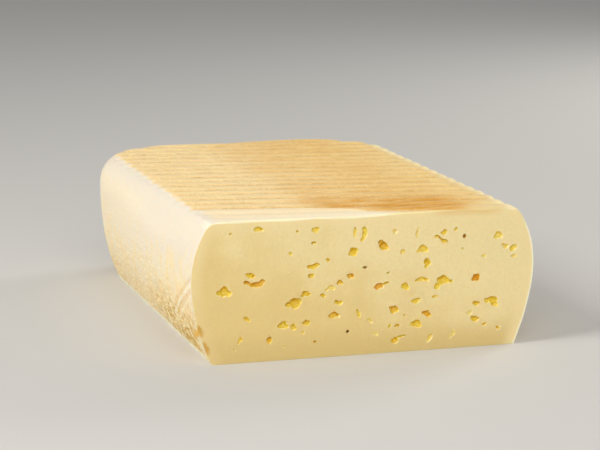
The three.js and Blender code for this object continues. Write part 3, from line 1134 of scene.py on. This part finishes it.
    def small(self, draw: np.random.Generator) -> list[tuple[float, ...]]:
        """Scatters the small eyes between the large ones, fewer towards the left.

        Args:
            draw: The seeded draw.

        Returns:
            Rows like those of the large eyes.
        """
        taken = [row[:2] for row in self.large]
        rows = []
        while len(rows) < self.small_count:
            across, up = draw.uniform(*self.small_across), draw.uniform(*self.small_up)
            length = draw.choice(self.small_lengths) * draw.uniform(*self.small_spread)
            crowd = np.interp(across, self.crowd_across, self.crowd_shares)
            clear = all(math.hypot(across - x, up - z) > self.small_gap for x, z in taken)
            if draw.random() > crowd or not clear:
                continue
            taken.append((across, up))
            height = length * draw.uniform(*self.small_heights)
            turn, bend = draw.uniform(*self.small_turns), draw.uniform(*self.small_bends)
            rows.append((across, up, length, height, turn, bend, draw.uniform(*self.small_tints)))
        return rows

    def lobes(self, row: tuple[float, ...], draw: np.random.Generator) -> list[tuple[float, ...]]:
        """Places the lobes of one eye along a short bent line.

        Args:
            row: The eye's place, length, height, turn, bend and tint.
            draw: The seeded draw.

        Returns:
            Place, size, turn and tint of each lobe, in metres and radians.
        """
        across, up, length, height, turn, bend, tint = row
        shallow = 0.5 + min(tint, 0.5)
        lean = math.radians(turn)
        made = []
        for share, reach, rise in self.lobe_plan:
            angle = lean + share * (bend * 0.5 + draw.uniform(-self.lobe_turn, self.lobe_turn))
            reach = max(reach * length, self.least_reach * height) * draw.uniform(*self.reach_spread)
            rise = rise * height * draw.uniform(*self.rise_spread)
            run = share * max(length / 2 - self.overlap * reach, 0)
            run += draw.uniform(-self.slip_along, self.slip_along) * length
            off = bend * height * (abs(share) - 0.5) / 2
            off += draw.uniform(-self.slip_across, self.slip_across) * height
            x = across + run * math.cos(lean) - off * math.sin(lean)
            z = up + run * math.sin(lean) + off * math.cos(lean)
            place = (self.sizes.middle + x * MM, self.sizes.cut, z * MM)
            deep = max(2 * rise * self.depth, self.least_depth) * shallow
            turns = (draw.uniform(-self.tip, self.tip), -angle, draw.uniform(-self.twist, self.twist))
            made.append((*place, reach * MM, deep * MM, rise * MM, *turns, tint))
        return made

    def lump_tree(self, names: dict[str, float], lining: bpy.types.Material) -> bpy.types.NodeTree:
        """Builds the tree that sets a lump on each place, fuses them, drops crumbs and opens the mouths.

        Args:
            names: The tree's named inputs.
            lining: The finish.

        Returns:
            The tree.
        """
        g, given = geometry_tree("eye_lumps", names)
        size = given.outputs
        lump = g.result("GeometryNodeMeshIcoSphere", {"Radius": 1.0, "Subdivisions": self.lump_detail})
        turn = g.result("FunctionNodeEulerToRotation", {0: g.carried("lobe_turn")})
        fed = {"Points": size["Geometry"], "Instance": lump, "Rotation": turn}
        copies = g.result("GeometryNodeInstanceOnPoints", fed | {"Scale": g.carried("lobe_size")})
        real = g.result("GeometryNodeRealizeInstances", {0: copies})
        place = g.result("GeometryNodeInputPosition")
        normal = g.result("GeometryNodeInputNormal")
        moved = g.vector("SCALE", g.drift(place, self.wobble_size), size["Wobble"])
        uneven = g.result("GeometryNodeSetPosition", {"Geometry": real, "Offset": moved})
        fed = {"Mesh": uneven, "Voxel Size": size["Grain"], "Interior Band Width": 0.4 * MM}
        cloud = g.result("GeometryNodeMeshToVolume", fed, resolution_mode="VOXEL_SIZE")
        fed = {"Volume": cloud, "Voxel Size": size["Grain"], "Threshold": 0.1, "Adaptivity": 0.05}
        fused = g.result("GeometryNodeVolumeToMesh", fed, resolution_mode="VOXEL_SIZE")
        fed = {"Value": 1.0, "Group ID": g.result("GeometryNodeInputMeshIsland")}
        points = g.node("GeometryNodeAccumulateField", fed).outputs["Total"]
        fed = {"A": points, "B": self.least_points}
        crumb = g.result("FunctionNodeCompare", fed, operation="LESS_THAN")
        whole = g.result("GeometryNodeDeleteGeometry", {"Geometry": fused, "Selection": crumb})
        off = g.math("ABSOLUTE", g.minus(g.axes(place)["Y"], self.sizes.cut))
        open_by = g.times(g.math("POWER", g.ramp(off, self.flare_depth, 0), 2), size["Flare"])
        flat = g.vector("NORMALIZE", g.vector("MULTIPLY", normal, (1, 0, 1)))
        fed = {"Geometry": whole, "Offset": g.vector("SCALE", flat, open_by)}
        flared = g.result("GeometryNodeSetPosition", fed)
        # Stores which way each wall faces, for the painted shade and painted light of the lining
        marked = g.keep(flared, Mark.OVERHANG, g.vector("DOT_PRODUCT", normal, self.shade_way))
        nearest = g.result("GeometryNodeSampleNearest", {"Geometry": size["Geometry"]})
        fed = {"Geometry": size["Geometry"], "Value": g.carried("lobe_tint", "FLOAT"), "Index": nearest}
        tinted = g.keep(marked, Mark.TINT, g.result("GeometryNodeSampleIndex", fed))
        split = g.result("GeometryNodeTriangulate", {"Mesh": tinted})
        made = g.result("GeometryNodeRealizeInstances", {0: split})
        dressed = g.result("GeometryNodeSetMaterial", {"Geometry": made, "Material": lining})
        g.node("NodeGroupOutput", {0: dressed})
        return g.tree


@dataclass
class CheeseBlock:
    """The block: loaf, flat cut, base and eyes in one piece."""

    sizes: LoafSizes
    smooth_angle: float = math.radians(40)
    lip_rows: int = 4
    least_row: float = 0.01 * MM

    def build(self) -> bpy.types.Object:
        """Makes the block and dresses it.

        Returns:
            The finished piece.
        """
        finishes = [RindFinish(), PasteFinish(), EyeFinish()]
        materials = [finish.build(self.sizes) for finish in finishes]
        loaf = Loaf(self.sizes)
        body = self.close(loaf, loaf.build())
        piece = new_object("cheese_block", body)
        for material in materials:
            body.materials.append(material)
        eyes = Eyes(self.sizes).build(materials[Region.EYE.value])
        cutter = piece.modifiers.new("eyes", "BOOLEAN")
        cutter.operation = "DIFFERENCE"
        cutter.solver = "MANIFOLD"
        cutter.material_mode = "TRANSFER"
        cutter.object = eyes
        mesh = evaluated(piece, "cheese_block")
        piece.modifiers.remove(cutter)
        piece.data = mesh
        bpy.data.objects.remove(eyes)
        mesh.shade_smooth()
        mesh.set_sharp_from_angle(angle=self.smooth_angle)
        return piece

    def close(self, loaf: Loaf, rind: bpy.types.Mesh) -> bpy.types.Mesh:
        """Closes the rind with the flat cut in front and the base underneath.

        Args:
            loaf: The loaf that made the rind.
            rind: Its mesh.

        Returns:
            The closed mesh, with its marks and its regions.
        """
        points = places(rind)
        turns = np.empty(len(points), np.float32)
        rind.attributes[Mark.RIB.value].data.foreach_get("value", turns)
        faces = [list(face.vertices) for face in rind.polygons]
        rind_count = len(faces)
        levels, columns, walls = loaf.levels, loaf.columns, loaf.walls
        grid = np.empty((levels + 1, columns + 1), int)
        grid[:, 0] = walls[0]
        grid[:, -1] = walls[-1]
        grid[-1, 1:-1] = walls.size + np.arange(columns - 1)
        grid[:-1, 1:-1] = len(points) + np.arange(levels * (columns - 1)).reshape(levels, -1)
        edge = np.concatenate([grid[:, 0], grid[:, -1], grid[-1]])
        points[edge, 1] = self.sizes.cut
        points[walls[:, 0], 2] = 0
        points = np.concatenate([points, self.fill_cut(points, grid)])
        faces += quads(grid)
        faces.append(walls[:, 0].tolist() + grid[0, -2:0:-1].tolist())
        mesh = new_mesh("cheese_block", points, faces)
        region = np.full(len(faces), Region.RIND.value, np.int32)
        region[rind_count:-1] = Region.PASTE.value
        lip = (loaf.stations - 1) * levels
        region[lip : lip + self.lip_rows * columns] = Region.PASTE.value
        mesh.polygons.foreach_set("material_index", region)
        margin = np.zeros(len(points))
        for index in np.unique(grid[:, 1:-1]):
            margin[index] = np.linalg.norm(points[edge] - points[index], axis=1).min()
        store(mesh, Mark.MARGIN.value, margin)
        store(mesh, Mark.RIB.value, np.pad(turns, (0, len(points) - len(turns))))
        return mesh

    def fill_cut(self, points: np.ndarray, grid: np.ndarray) -> np.ndarray:
        """Fills the cut with rows that rise as its ribbed rim does, each clear of the next.

        Args:
            points: The rind's vertices.
            grid: Numbers of the cut's vertices, by row and column.

        Returns:
            The vertices inside the outline of the cut.
        """
        levels, columns = grid.shape[0] - 1, grid.shape[1] - 1
        inner = span(points[grid[:-1, 0]], points[grid[:-1, -1]], columns)
        rim = points[grid[-1], 2]
        level_rim = np.linspace(rim[0], rim[-1], columns + 1)[1:-1]
        inner[:, :, 2] *= rim[1:-1] / level_rim
        below = np.arange(levels, 0, -1)[:, None] * self.least_row
        inner[:, :, 2] = np.minimum(inner[:, :, 2], rim[1:-1] - below)
        return inner.reshape(-1, 3)


@dataclass(frozen=True)
class Lamp:
    """One soft light."""

    name: str
    place: tuple[float, float, float]
    power: float
    width: float
    tint: tuple[float, float, float]


@dataclass
class Studio:
    """Pale floor, soft lights and the photograph's camera."""

    target: Vector
    foot: Vector
    floor_width: float = 6.0
    floor_colour: Colour = shade(202, 200, 196)
    floor_roughness: float = 0.8
    sky: Colour = (0.98, 0.99, 1.0, 1.0)
    sky_strength: float = 0.36
    lens: float = 131.3
    sensor: float = 36.0
    camera_place: tuple[float, float, float] = (-0.2454, -0.7394, 0.1930)
    camera_turn: tuple[float, float, float] = (79.46, 0.0, -16.59)
    lamps: tuple[Lamp, ...] = (
        Lamp("key", (-0.9, -0.25, 0.77), 9.2, 0.5, (1.0, 0.97, 0.92)),
        Lamp("fill", (-0.25, -1.1, 0.6), 6.4, 0.8, (1.0, 0.98, 0.96)),
        Lamp("rim", (0.95, 0.45, 0.4), 5.0, 0.4, (1.0, 0.97, 0.92)),
    )

    def build(self) -> None:
        """Sets up floor, sky, lights and camera."""
        self.lay_floor()
        self.light()
        self.place_camera()
        bpy.context.scene.view_settings.view_transform = "Standard"

    def lay_floor(self) -> None:
        """Lays a plain pale floor under the block."""
        half = self.floor_width / 2
        corners = np.array([(-half, -half, 0), (half, -half, 0), (half, half, 0), (-half, half, 0)])
        floor = new_object("floor", new_mesh("floor", corners, [[0, 1, 2, 3]]))
        material, _, shader = new_material("floor")
        shader.inputs["Base Color"].default_value = self.floor_colour
        shader.inputs["Roughness"].default_value = self.floor_roughness
        floor.data.materials.append(material)

    def light(self) -> None:
        """Hangs the lamps, each turned to the block, under an even sky."""
        for lamp in self.lamps:
            data = bpy.data.lights.new(lamp.name, "AREA")
            data.energy = lamp.power
            data.size = lamp.width
            data.color = lamp.tint
            made = bpy.data.objects.new(lamp.name, data)
            made.location = lamp.place
            way = self.target - Vector(lamp.place)
            made.rotation_euler = way.to_track_quat("-Z", "Y").to_euler()
            bpy.context.scene.collection.objects.link(made)
        world = bpy.data.worlds.new("studio")
        world.use_nodes = True
        back = world.node_tree.nodes["Background"]
        back.inputs["Color"].default_value = self.sky
        back.inputs["Strength"].default_value = self.sky_strength
        bpy.context.scene.world = world

    def place_camera(self) -> None:
        """Puts the camera where the photograph was taken from, as measured from the foot of the cut."""
        data = bpy.data.cameras.new("camera")
        data.lens = self.lens
        data.sensor_width = self.sensor
        camera = bpy.data.objects.new("camera", data)
        camera.location = self.foot + Vector(self.camera_place)
        camera.rotation_euler = [math.radians(turn) for turn in self.camera_turn]
        bpy.context.scene.collection.objects.link(camera)
        bpy.context.scene.camera = camera


def main() -> None:
    """Builds the block and the studio."""
    logging.basicConfig(level=logging.INFO, format="%(name)s: %(message)s")
    low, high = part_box(NODE)
    sizes = LoafSizes(height=high.z, cut=low.y, length=high.y - low.y)
    block = CheeseBlock(sizes).build()
    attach(block, "root")
    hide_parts(NODE)
    LOG.info("%s: %d faces", block.name, len(block.data.polygons))
    Studio(target=(low + high) / 2, foot=Vector((sizes.middle, sizes.cut, 0))).build()


if __name__ == "__main__":
    main()
